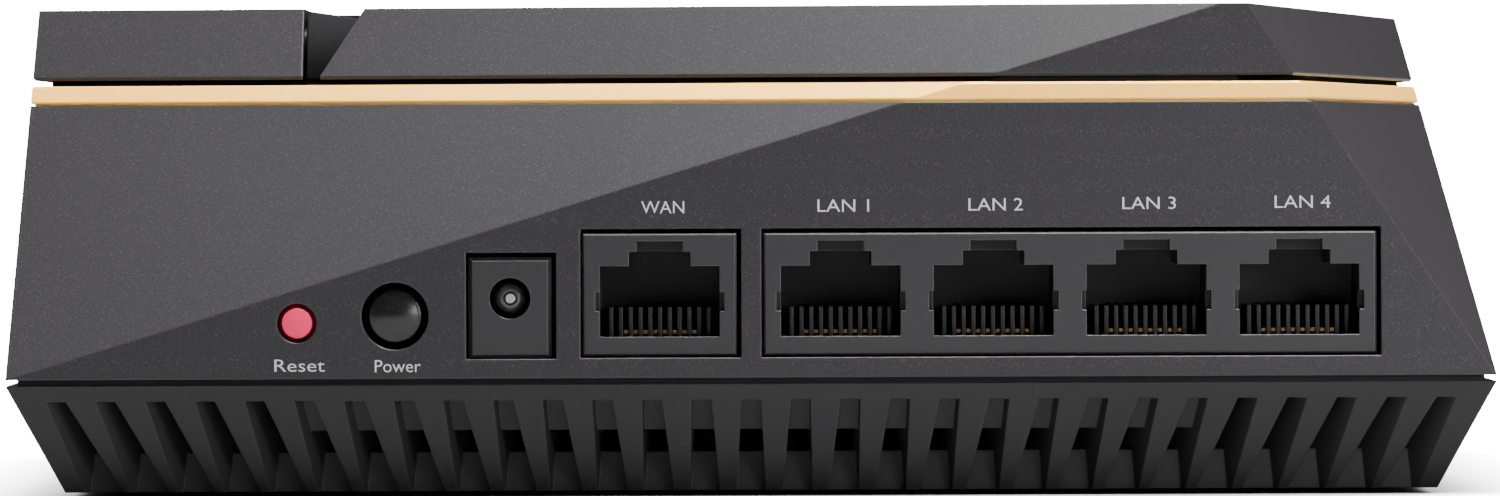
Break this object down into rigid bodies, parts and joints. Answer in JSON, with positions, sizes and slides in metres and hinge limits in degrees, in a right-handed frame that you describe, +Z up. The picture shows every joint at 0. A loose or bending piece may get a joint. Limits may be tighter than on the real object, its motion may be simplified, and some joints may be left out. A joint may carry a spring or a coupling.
{
  "type": "wireless router",
  "caption": "Square faceted wireless router with a vented base, a gold band, rear network sockets and fold-flat antennas that lift upright.",
  "frame": {"origin": "middle of the plane of the feet", "axes": "+Z up; -Y towards the socket side; +X to the right seen from the socket side"},
  "size_m": [0.155, 0.155, 0.0513],
  "materials": {
    "casing_black": "fine sparkle grain, satin black",
    "base_black": "fine moulded texture, black",
    "antenna_black": "fine sparkle grain, satin black",
    "cover_black": "fine moulded texture, black",
    "inner_black": "plain moulded black",
    "band_gold": "satin metallic gold paint",
    "foot_rubber": "moulded rubber",
    "jack_black": "semi-gloss moulded black",
    "contact_gold": "plated spring wire",
    "steel": "plated steel",
    "axle_black": "black-coated steel",
    "button_black": "polished black",
    "button_pink": "matte pink red",
    "switch_black": "moulded black",
    "board_green": "solder mask over glass fibre",
    "chip_black": "moulded chip package",
    "shield_steel": "tin-plated sheet",
    "sink_aluminium": "extruded, bead-blasted",
    "pad_grey": "soft silicone pad",
    "can_aluminium": "drawn can with a printed stripe",
    "ferrite": "pressed ferrite",
    "lens_clear": "clear moulded guide",
    "led_white": "small lamp package",
    "lead_grey": "thin coaxial jacket"
  },
  "bodies": {
    "root": {"vented_base": "base_black", "rubber_feet": "foot_rubber", "upper_casing": "casing_black", "gold_band": "band_gold", "antenna_deck": "inner_black", "top_cover": "cover_black", "lead_connectors": "contact_gold", "main_board": "board_green", "wan_jack_housing": "jack_black", "wan_jack_contacts": "contact_gold", "lan_jack_housing": "jack_black", "lan_jack_contacts": "contact_gold", "dc_jack_housing": "jack_black", "dc_centre_pin": "steel", "dc_spring": "steel", "power_switch": "switch_black", "reset_switch": "switch_black", "heat_sink": "sink_aluminium", "sink_screws": "steel", "processor": "chip_black", "memory_chips": "chip_black", "network_switch_chip": "chip_black", "shield_cans": "shield_steel", "radio_chips": "chip_black", "thermal_pads": "pad_grey", "magnetics": "ferrite", "capacitors": "can_aluminium", "inductors": "ferrite", "status_lights": "led_white", "light_guide": "lens_clear", "heat_spreader": "sink_aluminium", "case_screws": "steel", "cover_screws": "steel", "hinge_post_rear": "cover_black", "antenna_lead_rear": "lead_grey", "hinge_post_right": "cover_black", "antenna_lead_right": "lead_grey", "hinge_post_front": "cover_black", "antenna_lead_front": "lead_grey", "hinge_post_left": "cover_black", "antenna_lead_left": "lead_grey"},
    "power_button": {"power_button": "button_black"},
    "reset_button": {"reset_button": "button_pink"},
    "antenna_rear": {"antenna_cover_rear": "antenna_black", "antenna_base_rear": "inner_black", "antenna_radiator_rear": "board_green", "antenna_axle_rear": "axle_black"},
    "antenna_right": {"antenna_cover_right": "antenna_black", "antenna_base_right": "inner_black", "antenna_radiator_right": "board_green", "antenna_axle_right": "axle_black"},
    "antenna_front": {"antenna_cover_front": "antenna_black", "antenna_base_front": "inner_black", "antenna_radiator_front": "board_green", "antenna_axle_front": "axle_black"},
    "antenna_left": {"antenna_cover_left": "antenna_black", "antenna_base_left": "inner_black", "antenna_radiator_left": "board_green", "antenna_axle_left": "axle_black"}
  },
  "joints": [
    {"name": "antenna_rear_lift", "type": "hinge", "parent": "root", "child": "antenna_rear", "pos_m": [0.055, -0.04715, 0.04766], "axis": [0, 1, 0], "range_deg": [0, 90]},
    {"name": "antenna_right_lift", "type": "hinge", "parent": "root", "child": "antenna_right", "pos_m": [0.04715, 0.055, 0.04766], "axis": [-1, 0, 0], "range_deg": [0, 90]},
    {"name": "antenna_front_lift", "type": "hinge", "parent": "root", "child": "antenna_front", "pos_m": [-0.055, 0.04715, 0.04766], "axis": [0, -1, 0], "range_deg": [0, 90]},
    {"name": "antenna_left_lift", "type": "hinge", "parent": "root", "child": "antenna_left", "pos_m": [-0.04715, -0.055, 0.04766], "axis": [1, 0, 0], "range_deg": [0, 90]},
    {"name": "power_press", "type": "slide", "parent": "root", "child": "power_button", "axis": [0, 1, 0], "range_m": [0, 0.0015], "stiffness_N_per_m": 800},
    {"name": "reset_press", "type": "slide", "parent": "root", "child": "reset_button", "axis": [0, 1, 0], "range_m": [0, 0.0005], "stiffness_N_per_m": 1500}
  ]
}
